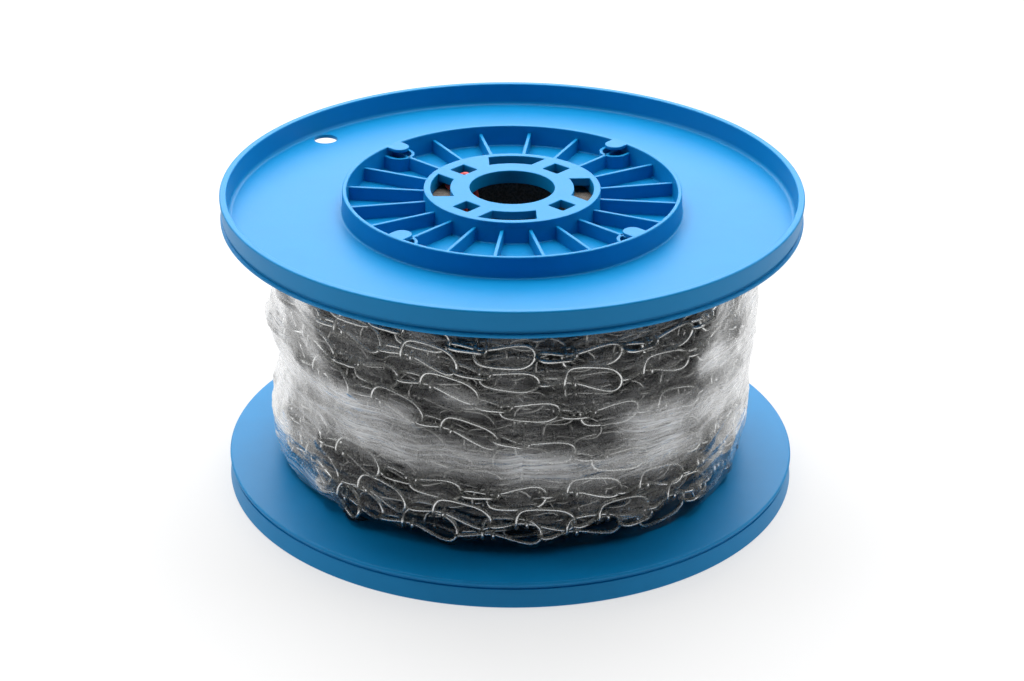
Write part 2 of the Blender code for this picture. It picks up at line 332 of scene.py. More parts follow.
STRING_HOLE_AT = 94.5
STRING_HOLE_RADIUS = 4.25
FLARE = 0.3
hole_section = [
    (0.0, 6.0), (STRING_HOLE_RADIUS + 1.2 * FLARE, 6.0), (STRING_HOLE_RADIUS + 1.2 * FLARE, 8.28),
    (STRING_HOLE_RADIUS + 0.5 * FLARE, 8.4), (STRING_HOLE_RADIUS, 8.3 + FLARE + 0.1),
    (STRING_HOLE_RADIUS, 9.4), (STRING_HOLE_RADIUS + 0.5 * FLARE, 9.7),
    (STRING_HOLE_RADIUS + 1.2 * FLARE, 9.82), (STRING_HOLE_RADIUS + 1.2 * FLARE, 11.0), (0.0, 11.0),
]
hole = spun("string_hole", [Vector(point) * MM for point in hole_section], 48)
hole.data.transform(Matrix.Rotation(math.radians(225), 4, "Z")
                    @ Matrix.Translation((STRING_HOLE_AT * MM, 0, 0)))
cut = body.modifiers.new("string_hole", "BOOLEAN")
cut.object = hole
cut.solver = "EXACT"
body = baked(body)
bpy.data.objects.remove(hole, do_unlink=True)
print("flange body: %d faces" % len(body.data.polygons))

# %% [markdown]
# ## Hub plate, ribs and latches
#
# The hub's plate takes the winding machine: a bore for the spindle, four arc slots with one
# slanted end, and four square holes. Twenty thin ribs stiffen the ring around it. Every fifth rib
# ends in a half-round tower with a flat tab over it, where a second reel can latch on. Ribs,
# towers and tabs repeat around the axis, so a Geometry Nodes tree turns one of each into a ring.

# %% A tree that repeats a piece around the axis
ring_tree = bpy.data.node_groups.new("repeat_around_axis", "GeometryNodeTree")
for socket_name, socket_type in (("Piece", "NodeSocketGeometry"), ("Count", "NodeSocketInt"),
                                 ("First angle", "NodeSocketFloat"),
                                 ("Material", "NodeSocketMaterial")):
    ring_tree.interface.new_socket(socket_name, in_out="INPUT", socket_type=socket_type)
ring_tree.interface.new_socket("Ring", in_out="OUTPUT", socket_type="NodeSocketGeometry")
given = put(ring_tree, "NodeGroupInput").outputs
line = put(ring_tree, "GeometryNodeMeshLine", {"Count": given["Count"], "Offset": (0, 0, 0)})
index = put(ring_tree, "GeometryNodeInputIndex").outputs[0]
share = put(ring_tree, "ShaderNodeMath", {0: index, 1: given["Count"]}, operation="DIVIDE")
angle = put(ring_tree, "ShaderNodeMath", {0: share.outputs[0], 1: math.tau, 2: given["First angle"]},
            operation="MULTIPLY_ADD")
turn = put(ring_tree, "ShaderNodeCombineXYZ", {"Z": angle.outputs[0]})
copies = put(ring_tree, "GeometryNodeInstanceOnPoints", {
    "Points": line.outputs[0], "Instance": given["Piece"], "Rotation": turn.outputs[0]})
real = put(ring_tree, "GeometryNodeRealizeInstances", {0: copies.outputs[0]})
dyed = put(ring_tree, "GeometryNodeSetMaterial", {"Geometry": real.outputs[0],
                                                  "Material": given["Material"]})
put(ring_tree, "NodeGroupOutput", {0: dyed.outputs[0]})


def run_tree(obj, tree, values, name=None):
    """Give an object a Geometry Nodes tree with its inputs set, and bake the result."""
    modifier = obj.modifiers.new(tree.name, "NODES")
    modifier.node_group = tree
    for item in tree.interface.items_tree:
        if item.in_out == "INPUT" and item.name in values:
            modifier[item.identifier] = values[item.name]
    return baked(obj, name)


# %% Hub plate
HUB_RADIUS = 31.25 * MM
BORE_RADIUS = 15.0 * MM
SLOT_RADII = (21.9 * MM, 28.8 * MM)
SLOT_STRAIGHT_OFFSET = 7.2 * MM
SLOT_SLANT_DISTANCE = 8.98 * MM
SQUARE_HOLE = 6.8 * MM
SQUARE_HOLE_AT = 23.4 * MM
quarters = [math.radians(90) * k for k in range(4)]
starts = [-math.asin(SLOT_STRAIGHT_OFFSET / r) for r in SLOT_RADII]
ends = [math.acos(SLOT_SLANT_DISTANCE / r) - math.radians(45) for r in SLOT_RADII]
slot = circle_arc(SLOT_RADII[0], starts[0], ends[0], 10) \
    + circle_arc(SLOT_RADII[1], ends[1], starts[1], 12)
side = SQUARE_HOLE / 2
square_corners = [((SQUARE_HOLE_AT + across * side) / MM, along * side / MM, 0.4)
                  for across, along in ((-1, -1), (1, -1), (1, 1), (-1, 1))]
square = [(x * MM, y * MM) for x, y in rounded(square_corners)]
plate_outlines = [circle_arc(HUB_RADIUS, 0, math.tau, 160)[:-1],
                  circle_arc(BORE_RADIUS, 0, math.tau, 96)[:-1]]
plate_outlines += [turned_by(slot, quarter) for quarter in quarters]
plate_outlines += [turned_by(square, quarter + math.radians(45)) for quarter in quarters]
hub_plate = moulded("hub_plate", plate_outlines, 0.4 * MM, 3.4 * MM, 0.3 * MM)
collar_corners = [(15.0, 3.0, 0.0), (16.5, 3.0, 0.0), (16.5, 5.4, 0.4), (15.0, 5.4, 0.4)]
collar = spun("bore_collar", [point * MM for point in rounded(collar_corners)], 96)
print("hub plate: %d faces, %d openings" % (len(hub_plate.data.polygons), len(plate_outlines) - 1))

# %% Ribs, towers and tabs
RIB_COUNT = 20
FIRST_RIB = math.radians(45)


def box_outline(inner, outer, thickness):
    """A thin radial rectangle in plan, sizes in millimetres."""
    half_thickness = thickness * MM / 2
    return [(inner * MM, -half_thickness), (outer * MM, -half_thickness),
            (outer * MM, half_thickness), (inner * MM, half_thickness)]


def around(name, piece, count, first_angle):
    """Repeat a moulded piece around the axis."""
    return run_tree(piece, ring_tree, {"Count": count, "First angle": first_angle,
                                       "Material": reel_blue}, name)


ribs = around("ribs", moulded("rib", [box_outline(30.9, 58.7, 1.3)], 3.3 * MM, 8.7 * MM, 0.3 * MM),
              RIB_COUNT, FIRST_RIB)
TOWER_AT = 55.6
back, front = math.radians(90), math.radians(270)
TOWER_RADIUS, TOWER_HOLLOW = 5.5, 4.25
tower_outline = [(58.9 * MM, TOWER_RADIUS * MM)]
tower_outline += circle_arc(TOWER_RADIUS * MM, back, front, 20, (TOWER_AT * MM, 0.0))
tower_outline += [(58.9 * MM, -TOWER_RADIUS * MM), (58.9 * MM, -TOWER_HOLLOW * MM)]
tower_outline += circle_arc(TOWER_HOLLOW * MM, front, back, 20, (TOWER_AT * MM, 0.0))
tower_outline += [(58.9 * MM, TOWER_HOLLOW * MM)]
towers = around("towers", moulded("tower", [tower_outline], 3.3 * MM, 8.7 * MM, 0.25 * MM),
                4, FIRST_RIB)
TAB_RADIUS = 3.5
tab_outline = [(59.0 * MM, TAB_RADIUS * MM)]
tab_outline += circle_arc(TAB_RADIUS * MM, back, front, 20, (TOWER_AT * MM, 0.0))
tab_outline += [(59.0 * MM, -TAB_RADIUS * MM)]
tabs = around("tabs", moulded("tab", [tab_outline], 0.5 * MM, 1.7 * MM, 0.25 * MM), 4, FIRST_RIB)
print("ribs %d, towers %d, tabs %d faces" % tuple(len(o.data.polygons) for o in (ribs, towers, tabs)))

# %% Join one moulding and place it twice
SMOOTH_BELOW = math.radians(32)


def joined(name, parts, mat):
    """One mesh object from several, in one material, shaded smooth over soft edges."""
    bm = bmesh.new()
    for part in parts:
        bm.from_mesh(part.data)
    mesh = bpy.data.meshes.new(name)
    bm.to_mesh(mesh)
    bm.free()
    mesh.materials.clear()
    mesh.materials.append(mat)
    mesh.polygons.foreach_set("material_index", [0] * len(mesh.polygons))
    mesh.shade_smooth()
    mesh.set_sharp_from_angle(angle=SMOOTH_BELOW)
    for part in parts:
        bpy.data.objects.remove(part, do_unlink=True)
    return link_mesh(name, mesh)


moulding = joined("moulding", [body, hub_plate, collar, ribs, towers, tabs], reel_blue)
weights = moulding.modifiers.new("flat_faces_stay_flat", "WEIGHTED_NORMAL")
weights.keep_sharp = True
moulding = baked(moulding)
places = {
    "lower_flange": Matrix.Rotation(math.radians(180), 4, "Z"),
    "upper_flange": Matrix.Translation((0, 0, REEL_HEIGHT)) @ Matrix.Rotation(math.radians(180), 4, "X"),
}
for node_name, placement in places.items():
    mesh = moulding.data.copy()
    mesh.transform(placement)
    flange = link_mesh(node_name + "_moulding", mesh)
    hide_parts(node_name)
    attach(flange, "root")
    mesh.calc_loop_triangles()
    print(flange.name, len(mesh.loop_triangles), "triangles")
bpy.data.objects.remove(moulding, do_unlink=True)

# %% [markdown]
# ## The cardboard tube
#
# The core is a thick tube wound from many plies of grey board. Its cut end, seen through the arc
# slots, shows the plies as fine rings. The solid from the frame already has the right shape, so it
# only gets a material. Rings follow the distance from the axis, which two coordinates give.

# %% Wound board
PLY = 0.6 * MM
board, tree, output = new_material("spiral_wound_board")
place = put(tree, "ShaderNodeTexCoord").outputs["Object"]
split = put(tree, "ShaderNodeSeparateXYZ", {0: place})
flat = put(tree, "ShaderNodeCombineXYZ", {"X": split.outputs["X"], "Y": split.outputs["Y"]})
distance = put(tree, "ShaderNodeVectorMath", {0: flat.outputs[0]}, operation="LENGTH")
ply_count = put(tree, "ShaderNodeMath", {0: distance.outputs["Value"], 1: math.tau / PLY},
                operation="MULTIPLY")
plies = put(tree, "ShaderNodeMath", {0: ply_count.outputs[0]}, operation="SINE")
fibres = put(tree, "ShaderNodeTexNoise", {"Vector": place, "Scale": 1 / (0.8 * MM), "Detail": 6.0})
blend = put(tree, "ShaderNodeMath", {0: plies.outputs[0], 1: 0.14, 2: fibres.outputs[0]},
            operation="MULTIPLY_ADD")
tone = put(tree, "ShaderNodeValToRGB", {0: blend.outputs[0]})
tone.color_ramp.elements[0].position = 0.25
tone.color_ramp.elements[0].color = linear("#4F4A45")
tone.color_ramp.elements[1].position = 0.75
tone.color_ramp.elements[1].color = linear("#8A8177")
rough_board = put(tree, "ShaderNodeBump", {"Height": blend.outputs[0], "Strength": 0.5,
                                           "Distance": 0.2 * MM})
paper_skin = put(tree, "ShaderNodeBsdfPrincipled", {
    "Base Color": tone.outputs[0], "Roughness": 0.9, "Specular IOR Level": 0.2,
    "Normal": rough_board.outputs[0]})
tree.links.new(paper_skin.outputs[0], output.inputs["Surface"])
bpy.data.objects["core_tube"].material_slots[0].material = board
print("core_tube carries", board.name)

# %% [markdown]
# ## Knotted chain
#
# Each link is one piece of bright wire. Its ends are wrapped around its own waist, and from there
# each rises like a hook into a loop: a long wide one on one side, and a short one, a quarter turn
# around, on the other, which holds the wide loop of the link before. The bent path is drawn once,
# as points, and a Geometry Nodes tree gives it a round section. A second tree hangs such links on
# a route around the winding, because what repeats hundreds of times must come from a rule. The
# layers below lie in the shade of more wire and film than is drawn, so their zinc gets painted shade.

# %% Zinc-plated wire
def zinc_plated(name, dull, bright, roughness):
    """Zinc on drawn wire, cloudy between two tones."""
    steel, tree, output = new_material(name)
    place = put(tree, "ShaderNodeTexCoord").outputs["Object"]
    cloud = put(tree, "ShaderNodeTexNoise", {"Vector": place, "Scale": 1 / (7.0 * MM), "Detail": 3.0})
    drawn = put(tree, "ShaderNodeTexNoise", {"Vector": place, "Scale": 1 / (0.7 * MM), "Detail": 2.0})
    zinc = put(tree, "ShaderNodeMix", {0: cloud.outputs[0], 6: linear(dull), 7: linear(bright)},
               data_type="RGBA")
    polish = put(tree, "ShaderNodeMapRange", {"Value": drawn.outputs[0], "To Min": roughness - 0.07,
                                              "To Max": roughness + 0.07})
    wire_skin = put(tree, "ShaderNodeBsdfPrincipled", {
        "Base Color": zinc.outputs[2], "Metallic": 1.0, "Roughness": polish.outputs[0]})
    tree.links.new(wire_skin.outputs[0], output.inputs["Surface"])
    return steel


steel = zinc_plated("bright_zinc_plated_steel", "#E4E1DB", "#F8F7F2", 0.27)
# Darker tones for the layers below: painted shade under the outer wire and film.
painted_shade_steel = zinc_plated("oiled_zinc_plated_steel", "#96948F", "#B2B0AB", 0.28)
print("wire:", steel.name, "and, for the layers below,", painted_shade_steel.name)

# %% The bent path of one link
WIRE_RADIUS = 0.79
WRAP_RADIUS = 1.72
WRAP_AT = 1.75
WAIST_TO_MIDDLE = 3.4


def wrap(at, start, turn_angle, steps, slant):
    """A turn of wire around the waist, as (along, up, out) points in millimetres."""
    points = []
    for step in range(steps + 1):
        angle = math.radians(start + turn_angle * step / steps)
        along = at + slant * (step / steps - 0.5)
        points.append((along, WRAP_RADIUS * math.cos(angle), WRAP_RADIUS * math.sin(angle)))
    return points


wide_loop = [(-1.9, 2.3, 1.35), (-1.5, 3.9, 0.8), (-0.4, 5.1, 0.3), (1.6, 5.6, 0.1), (5.0, 5.7, 0.0),
             (8.8, 5.5, 0.0), (12.2, 5.2, 0.0), (15.0, 4.4, 0.0), (17.2, 2.7, 0.0), (18.2, 0.5, 0.0),
             (17.8, -1.8, 0.0), (16.0, -3.2, 0.0), (13.2, -3.3, 0.0), (9.0, -2.3, 0.0), (5.0, -1.0, 0.0)]
waist = [(2.0, -0.2, 0.0), (0.0, 0.0, 0.0), (-2.0, 0.0, 0.2)]
short_loop = [(-4.5, 0.0, 1.0), (-7.0, 0.0, 1.8), (-9.4, 0.0, 2.0), (-10.9, 0.0, 1.3), (-11.3, 0.0, -0.2),
              (-10.7, 0.0, -1.8), (-9.0, 0.0, -3.0), (-6.0, 0.0, -3.4), (-3.0, 0.0, -3.3),
              (-0.4, 0.2, -3.0), (0.7, 0.5, -2.2)]
link_path = [(-WRAP_AT, 0.5, -0.3)] + wrap(-WRAP_AT, 330, -260, 9, -0.4) + wide_loop + waist
link_path += short_loop + wrap(WRAP_AT, -70, 350, 12, 0.5) + [(WRAP_AT + 0.3, 0.1, -0.6)]
link_path = [(along - WAIST_TO_MIDDLE, up, out) for along, up, out in link_path]
print("one link: %d points" % len(link_path))

# %% A tree that gives a path its round section
wire_tree = bpy.data.node_groups.new("wire_along_path", "GeometryNodeTree")
for socket_name, socket_type in (("Path", "NodeSocketGeometry"), ("Radius", "NodeSocketFloat"),
                                 ("Sides", "NodeSocketInt"), ("Points", "NodeSocketInt"),
                                 ("Material", "NodeSocketMaterial")):
    wire_tree.interface.new_socket(socket_name, in_out="INPUT", socket_type=socket_type)
wire_tree.interface.new_socket("Wire", in_out="OUTPUT", socket_type="NodeSocketGeometry")
given = put(wire_tree, "NodeGroupInput").outputs
route = put(wire_tree, "GeometryNodeMeshToCurve", {"Mesh": given["Path"]})
smooth = put(wire_tree, "GeometryNodeCurveSplineType", {"Curve": route.outputs[0]},
             spline_type="CATMULL_ROM")
spaced = put(wire_tree, "GeometryNodeResampleCurve", {"Curve": smooth.outputs[0],
                                                      "Count": given["Points"]})
section = put(wire_tree, "GeometryNodeCurvePrimitiveCircle", {"Resolution": given["Sides"],
                                                              "Radius": given["Radius"]})
tube = put(wire_tree, "GeometryNodeCurveToMesh", {"Curve": spaced.outputs[0],
                                                  "Profile Curve": section.outputs[0],
                                                  "Fill Caps": True})
soft = put(wire_tree, "GeometryNodeSetShadeSmooth", {"Geometry": tube.outputs[0]})
dyed = put(wire_tree, "GeometryNodeSetMaterial", {"Geometry": soft.outputs[0],
                                                  "Material": given["Material"]})
put(wire_tree, "NodeGroupOutput", {0: dyed.outputs[0]})


def path_object(name, points):
    """A mesh of points joined in a row by edges, which a tree can follow."""
    mesh = bpy.data.meshes.new(name)
    mesh.from_pydata(points, [(i, i + 1) for i in range(len(points) - 1)], [])
    return link_mesh(name, mesh)


def bent_wire(name, sides, points):
    """One link with a given fineness."""
    path = path_object(name, [Vector(point) * MM for point in link_path])
    return run_tree(path, wire_tree, {"Radius": WIRE_RADIUS * MM, "Sides": sides,
                                      "Points": points, "Material": steel})


fine_link = bent_wire("link_fine", 6, 76)
plain_link = bent_wire("link_plain", 5, 52)
rough_link = bent_wire("link_rough", 4, 32)
print("faces of a link:", [len(o.data.polygons) for o in (fine_link, plain_link, rough_link)])

# %% [markdown]
# ## Routes of the chain
#
# The chain runs around the core in rows, and it was wound by machine but not neatly. On the
# photographed side each row of the outer layer drops to the height of the next, and wide gaps
# show the layer below, which climbs the other way. So the outer route is a list of knots, at an
# angle and a height each, and the far side is filled with knots at the same spacing. The inner
# layers are plain helices. A share of the links lies upside down, as a real chain twists.

# %% A tree that hangs links on a route
chain_tree = bpy.data.node_groups.new("links_on_route", "GeometryNodeTree")
for socket_name, socket_type in (("Route", "NodeSocketGeometry"), ("Link", "NodeSocketObject"),
                                 ("Loose turn", "NodeSocketVector"), ("Flip share", "NodeSocketFloat"),
                                 ("Seed", "NodeSocketInt"), ("Material", "NodeSocketMaterial")):
    chain_tree.interface.new_socket(socket_name, in_out="INPUT", socket_type=socket_type)
chain_tree.interface.new_socket("Chain", in_out="OUTPUT", socket_type="NodeSocketGeometry")
given = put(chain_tree, "NodeGroupInput").outputs
route = put(chain_tree, "GeometryNodeMeshToCurve", {"Mesh": given["Route"]})
spots = put(chain_tree, "GeometryNodeCurveToPoints", {"Curve": route.outputs[0]}, mode="EVALUATED")
spot = put(chain_tree, "GeometryNodeInputPosition").outputs[0]
outward = put(chain_tree, "ShaderNodeVectorMath", {0: spot, 1: (1.0, 1.0, 0.0)}, operation="MULTIPLY")
stand = put(chain_tree, "FunctionNodeAxesToRotation", {
    "Primary Axis": spots.outputs["Tangent"], "Secondary Axis": outward.outputs[0]},
    primary_axis="X", secondary_axis="Z")
least = put(chain_tree, "ShaderNodeVectorMath", {0: given["Loose turn"], 3: -1.0}, operation="SCALE")
chance = put(chain_tree, "FunctionNodeRandomValue", {0: least.outputs[0], 1: given["Loose turn"],
                                                     "Seed": given["Seed"]}, data_type="FLOAT_VECTOR")
flips = put(chain_tree, "FunctionNodeRandomValue", {"Probability": given["Flip share"],
                                                    "Seed": given["Seed"]}, data_type="BOOLEAN")
half_turn = put(chain_tree, "ShaderNodeMath", {0: flips.outputs[3], 1: math.pi}, operation="MULTIPLY")
over = put(chain_tree, "ShaderNodeCombineXYZ", {"X": half_turn.outputs[0]})
turns = put(chain_tree, "ShaderNodeVectorMath", {0: chance.outputs[0], 1: over.outputs[0]})
wobble = put(chain_tree, "FunctionNodeEulerToRotation", {0: turns.outputs[0]})
settled = put(chain_tree, "FunctionNodeRotateRotation", {0: stand.outputs[0], 1: wobble.outputs[0]},
              rotation_space="LOCAL")
template = put(chain_tree, "GeometryNodeObjectInfo", {"Object": given["Link"], "As Instance": True})
copies = put(chain_tree, "GeometryNodeInstanceOnPoints", {
    "Points": spots.outputs["Points"], "Instance": template.outputs["Geometry"],
    "Rotation": settled.outputs[0]})
real = put(chain_tree, "GeometryNodeRealizeInstances", {0: copies.outputs[0]})
dyed = put(chain_tree, "GeometryNodeSetMaterial", {"Geometry": real.outputs[0],
                                                   "Material": given["Material"]})
put(chain_tree, "NodeGroupOutput", {0: dyed.outputs[0]})

# %% Knots of the outer layer, and helices below it
KNOT_STEP = 19.6                # degrees between knots
FRONT_KNOTS = [                 # rows on the photographed side: degrees from the front, millimetres up
    [(-50, 91.5), (-30, 89.5), (-10, 85.8), (11, 83.4), (32, 82.8)],
    [(-48, 82.0), (-28, 80.3), (-9, 76.8), (11, 73.0), (31, 72.3), (51, 71.8)],
    [(-43, 71.6), (-23, 70.5), (-4, 65.0), (16, 60.8), (36, 56.5), (56, 55.5)],
    [(-57, 62.0), (-36, 60.9), (-18, 55.1), (0, 50.7), (19, 43.2), (37, 38.0), (57, 36.5)],
    [(-48, 35.3), (-27, 33.9), (-7, 31.5), (12, 31.0), (31, 28.2), (51, 26.6)],
    [(-62, 24.8), (-41, 24.2), (-20, 22.6), (0, 20.6), (20, 19.8), (40, 19.4)],
    [(-48, 17.6), (-28, 16.2), (-8, 16.0), (12, 16.0), (32, 16.6), (52, 16.4)],
]
FRONT = -90.0                   # the picture's side of the reel looks along +Y


def on_winding(angle, radius, height):
    """A point on the winding, by degrees from the front and millimetres."""
    bearing = math.radians(angle + FRONT)
    return Vector((radius * math.cos(bearing), radius * math.sin(bearing), height)) * MM


def wander(value, seed, size):
    """A slow random drift along a row, of at most the given size."""
    return size * noise.noise(Vector((value * 0.021, seed, 0.5)))


def outer_knots():
    """All knots of the outer layer in order, with the far side filled in."""
    knots = []
    for row, front_knots in enumerate(FRONT_KNOTS):
        knots += [(angle + 360 * row, height) for angle, height in front_knots]
        if row + 1 < len(FRONT_KNOTS):
            next_angle, next_height = FRONT_KNOTS[row + 1][0]
            gap = next_angle + 360 * (row + 1) - knots[-1][0]
            count = round(gap / KNOT_STEP)
            start_angle, start_height = knots[-1]
            for step in range(1, count):
                share = step / count
                knots.append((start_angle + gap * share,
                              start_height + (next_height - start_height) * share))
    last_angle, last_height = knots[-1]
    return knots + [(last_angle + KNOT_STEP * step, last_height) for step in range(1, 14)]


def helix_knots(rows, low, high, climb, seed):
    """Knots of a hidden layer. Each row moves to the next height on the photographed side."""
    knots = []
    row_pitch = (high - low) / rows
    for index in range(int(360 * rows / KNOT_STEP)):
        angle = index * KNOT_STEP
        row, local = divmod(angle, 360)
        rise = min(max((local - 150) / 65.0, 0.0), 1.0)
        height = low + row_pitch * (row + rise * rise * (3 - 2 * rise))
        if climb < 0:
            height = low + high - height
        knots.append((angle - 180, height + wander(angle, seed + 7.0, 2.0)))
    return knots


def route(knots, radius, seed):
    """A row of points, one for each link, at its middle."""
    to_middle = math.degrees(WAIST_TO_MIDDLE / radius)
    return [on_winding(angle + to_middle, radius + wander(angle, seed, 0.8), height)
            for angle, height in knots]


LOOSE = (math.radians(14), math.radians(3), math.radians(3))
FLIP_SHARE = 0.3
HIDDEN_ROWS, LOWEST_ROW, HIGHEST_ROW = 10, 15.5, 95.0
rising = helix_knots(HIDDEN_ROWS, LOWEST_ROW, HIGHEST_ROW, 1, 1.0)
falling = helix_knots(HIDDEN_ROWS, LOWEST_ROW, HIGHEST_ROW, -1, 2.0)
layers = {
    "chain_outer": (route(outer_knots(), 81.0, 3.0), fine_link, 11, steel),
    "chain_second": (route(rising, 77.0, 1.0), plain_link, 12, painted_shade_steel),
    "chain_third": (route(falling, 73.2, 2.0), rough_link, 13, painted_shade_steel),
}
chain_pieces = []
for layer_name, (points, link, seed, metal) in layers.items():
    piece = run_tree(path_object(layer_name, points), chain_tree, {
        "Link": link, "Loose turn": LOOSE, "Flip share": FLIP_SHARE, "Seed": seed,
        "Material": metal})
    chain_pieces.append(piece)
    piece.data.calc_loop_triangles()
    print(layer_name, "links:", len(points), "triangles:", len(piece.data.loop_triangles))
for link in (fine_link, plain_link, rough_link):
    bpy.data.objects.remove(link, do_unlink=True)

# %% [markdown]
# Below the third layer nothing can be made out but dark metal. A turned bed with ten ridges
# stands for all deeper turns, and a coarse bump breaks up its skin like wire in deep shade.

# %% Deep windings
deep, tree, output = new_material("zinc_plated_steel_in_shade")
place = put(tree, "ShaderNodeTexCoord").outputs["Object"]
tangle = put(tree, "ShaderNodeTexVoronoi", {"Vector": place, "Scale": 1 / (4.0 * MM)})
deep_tone = put(tree, "ShaderNodeMix", {0: tangle.outputs["Distance"], 6: linear("#4A4A49"),
                                        7: linear("#101010")}, data_type="RGBA")
deep_relief = put(tree, "ShaderNodeBump", {"Height": tangle.outputs["Distance"], "Strength": 0.9,
                                           "Distance": 1.2 * MM}, invert=True)
deep_skin = put(tree, "ShaderNodeBsdfPrincipled", {
    "Base Color": deep_tone.outputs[2], "Metallic": 0.8, "Roughness": 0.5,
    "Normal": deep_relief.outputs[0]})
tree.links.new(deep_skin.outputs[0], output.inputs["Surface"])

BED_LOW, BED_HIGH = 10.2, 100.5
BED_STEPS = 80
RIDGE_SPACING = 9.05
bed_outline = [(29.5, BED_LOW), (29.5, BED_HIGH)]
for step in range(BED_STEPS + 1):
    height = BED_HIGH - step * (BED_HIGH - BED_LOW) / BED_STEPS
    bed_outline.append((70.0 + 1.2 * math.sin(math.tau * height / RIDGE_SPACING), height))
bed = spun("deep_windings", [Vector(point) * MM for point in bed_outline], 120)
bed.data.materials.append(deep)
bed.data.shade_smooth()
for piece in (bed, *chain_pieces):
    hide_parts("chain_winding")
    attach(piece, "root")

# %% [markdown]
# ## Clear film
#
# The film is thin clear plastic in several turns, pulled tight and crushed into folds. It's held
# up by the knots and loops of the chain and bridges the gaps between them. So the chain's own
# points are read into a grid of radii around the axis, and the grid is relaxed like a stretched
# skin that can't sink below them. Loose bulges at both sides follow, and folds from noise that is
# stretched along the rows. Bands where the film is crumpled get a value called veil. Towards both
# sides the veil is raised further, partly for loose crumpled film and partly as a painted sheen.

# %% The creased sheet
FILM_LOW, FILM_HIGH = 10.3, 100.4
FILM_STEPS_AROUND = 720
FILM_STEPS_UP = 120
FILM_CLEARANCE = 0.25
LEAST_REACH = 78.0
LEFT_BULGE = [(10, 81.8), (14, 84.2), (21, 86.4), (29, 86.9), (42, 84.0), (52, 83.0), (58, 86.0),
              (65, 88.4), (73, 85.0), (85, 84.5), (101, 84.0)]
RIGHT_BULGE = [(10, 81.3), (15, 82.8), (24, 86.3), (33, 86.5), (47, 86.4), (58, 88.2), (75, 88.2),
               (90, 86.0), (101, 84.5)]
BULGE_AT = 86.0                 # degrees from the front, on either side
BULGE_WIDTH = 17.0


def chain_radii():
    """The largest radius of the chain in each cell of the film's grid, in millimetres."""
    radii = np.full((FILM_STEPS_UP + 1, FILM_STEPS_AROUND), LEAST_REACH)
    for piece in chain_pieces[:2]:
        flat_list = np.empty(len(piece.data.vertices) * 3)
        piece.data.vertices.foreach_get("co", flat_list)
        x, y, z = flat_list.reshape(-1, 3).T / MM
        bearing = np.degrees(np.arctan2(y, x)) - FRONT
        column = np.round(bearing / 360 * FILM_STEPS_AROUND).astype(int) % FILM_STEPS_AROUND
        row = np.round((z - FILM_LOW) / (FILM_HIGH - FILM_LOW) * FILM_STEPS_UP).astype(int)
        np.maximum.at(radii, (np.clip(row, 0, FILM_STEPS_UP), column), np.hypot(x, y))
    return radii


def widened(grid, around, up):
    """Give each cell the largest value of its neighbours, up to the given numbers of cells away."""
    for step in range(max(around, up)):
        if step < around:
            grid = np.maximum(grid, np.maximum(np.roll(grid, 1, 1), np.roll(grid, -1, 1)))
        if step < up:
            grid[1:] = np.maximum(grid[1:], grid[:-1])
            grid[:-1] = np.maximum(grid[:-1], grid[1:])
    return grid


FILM_FOOT = [(-180, 81.5), (-90, 82.0), (-69, 81.5), (-53, 79.0), (-32, 78.5), (-13, 79.2), (5, 80.2),
             (19, 82.4), (35, 83.8), (51, 82.8), (71, 82.0), (180, 81.5)]
film_heights = np.linspace(FILM_LOW, FILM_HIGH, FILM_STEPS_UP + 1)
film_angles = np.linspace(0, 360, FILM_STEPS_AROUND, endpoint=False)
from_front = (film_angles + 180) % 360 - 180
foot = np.interp(from_front, [a for a, _ in FILM_FOOT], [r for _, r in FILM_FOOT])
RELAX_STEPS = 500
PULL = math.cos(math.tau / FILM_STEPS_AROUND)
reach = chain_radii()
held_up = widened(reach, 1, 1) + FILM_CLEARANCE
skin_radii = widened(held_up.copy(), 14, 5)
for _ in range(RELAX_STEPS):
    around = (np.roll(skin_radii, 1, 1) + np.roll(skin_radii, -1, 1)) / 2 * PULL
    padded = np.vstack([foot[None, :], skin_radii, skin_radii[-1:]])
    up_down = (padded[2:] + padded[:-2]) / 2
    skin_radii = np.maximum(held_up, 0.5 * around + 0.5 * up_down)
    skin_radii[0] = foot
print("skin radius: %.1f to %.1f mm" % (skin_radii.min(), skin_radii.max()))

VEILS = [                       # half width in mm, then degrees from the front and heights
    (4.0, [(-85, 56.5), (-44, 57.4), (-23, 59.0)]),
    (3.0, [(-20, 71.0), (-7, 67.0)]),
    (5.5, [(-70, 45.5), (-43, 47.2), (-30, 47.6), (-7, 45.4), (21, 41.4), (52, 41.6)]),
    (6.0, [(20, 54.5), (31, 53.7), (45, 50.5), (60, 47.7), (80, 42.0)]),
    (5.0, [(44, 68.6), (57, 66.4), (69, 62.3), (88, 60.0)]),
    (4.0, [(-85, 17.5), (-60, 16.5), (-46, 14.5)]),
]
# The film's sides get extra veil: partly loose crumpled film, partly painted sheen where the film turns
# away.
SHEEN_FROM, SHEEN_FADE = 46, 34   # degrees from the front where the side's haze starts, and its fade
near_chain = widened(reach, 3, 3)
bridging = np.clip((skin_radii - near_chain - 0.5) / 1.6, 0.0, 1.0)
veil = 0.1 * bridging
for half_width, line in VEILS:
    middle = np.interp(from_front, [a for a, _ in line], [h for _, h in line])
    inside = np.clip(np.minimum(from_front - line[0][0], line[-1][0] - from_front) / 8.0, 0.0, 1.0)
    veil = np.maximum(veil, inside * np.exp(-((film_heights[:, None] - middle) / half_width) ** 2))
# Painted sheen: the veil rises towards both sides of the winding, which also holds loose crumpled film.
painted_side_sheen = np.clip((np.abs(from_front) - SHEEN_FROM) / SHEEN_FADE, 0.0, 1.0)[None, :]
veil = np.maximum(veil, painted_side_sheen * (0.45 + 0.55 * bridging))
for _ in range(6):
    veil = (veil + np.roll(veil, 1, 1) + np.roll(veil, -1, 1)) / 3
    veil[1:-1] = (veil[2:] + veil[:-2] + veil[1:-1]) / 3
print("mean veil of the film: %.2f" % veil.mean())

